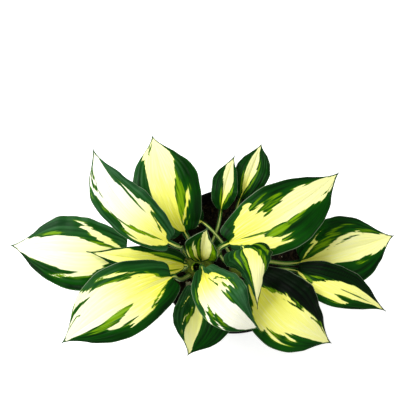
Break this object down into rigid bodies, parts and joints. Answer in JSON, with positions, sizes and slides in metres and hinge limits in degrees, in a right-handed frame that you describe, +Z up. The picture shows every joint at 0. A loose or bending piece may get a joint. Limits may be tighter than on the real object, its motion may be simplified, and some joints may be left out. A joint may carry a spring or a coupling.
{
  "type": "potted hosta plant",
  "caption": "Variegated hosta in a round black nursery pot, with broad heart-shaped leaves on channelled stalks, its crowns and roots in potting mix.",
  "frame": {"origin": "centre of the pot's underside, on the surface that it stands on", "axes": "+Z up along the pot's axis; +X along the plant's widest spread, to the right as seen from the front; -Y towards the front"},
  "size_m": [0.4422, 0.2523, 0.2462],
  "materials": {
    "pot_plastic": "black moulded polypropylene, satin, faintly dusty",
    "potting_mix": "dark moist peat and bark crumbs with pale grains",
    "crown_flesh": "brown papery fibres over olive flesh, yellow-green where the stalks leave it",
    "leaf": "cream to yellow centre, chartreuse streaks and a dark green margin, satin, ribbed along parallel veins",
    "shoot": "yellow-green, smooth and satin",
    "dry_scale": "dry, beige and papery"
  },
  "bodies": {
    "root": {"pot": "pot_plastic", "potting_mix": "potting_mix", "crown_west": "crown_flesh", "crown_east": "crown_flesh", "leaf_01": "leaf", "leaf_02": "leaf", "leaf_03": "leaf", "leaf_04": "leaf", "leaf_05": "leaf", "leaf_06": "leaf", "leaf_07": "leaf", "leaf_08": "leaf", "leaf_09": "leaf", "leaf_10": "leaf", "leaf_11": "leaf", "leaf_12": "leaf", "leaf_13": "leaf", "leaf_14": "leaf", "leaf_15": "leaf", "leaf_16": "leaf", "leaf_17": "leaf", "rolled_shoot": "shoot", "papery_scale": "dry_scale"}
  },
  "joints": []
}
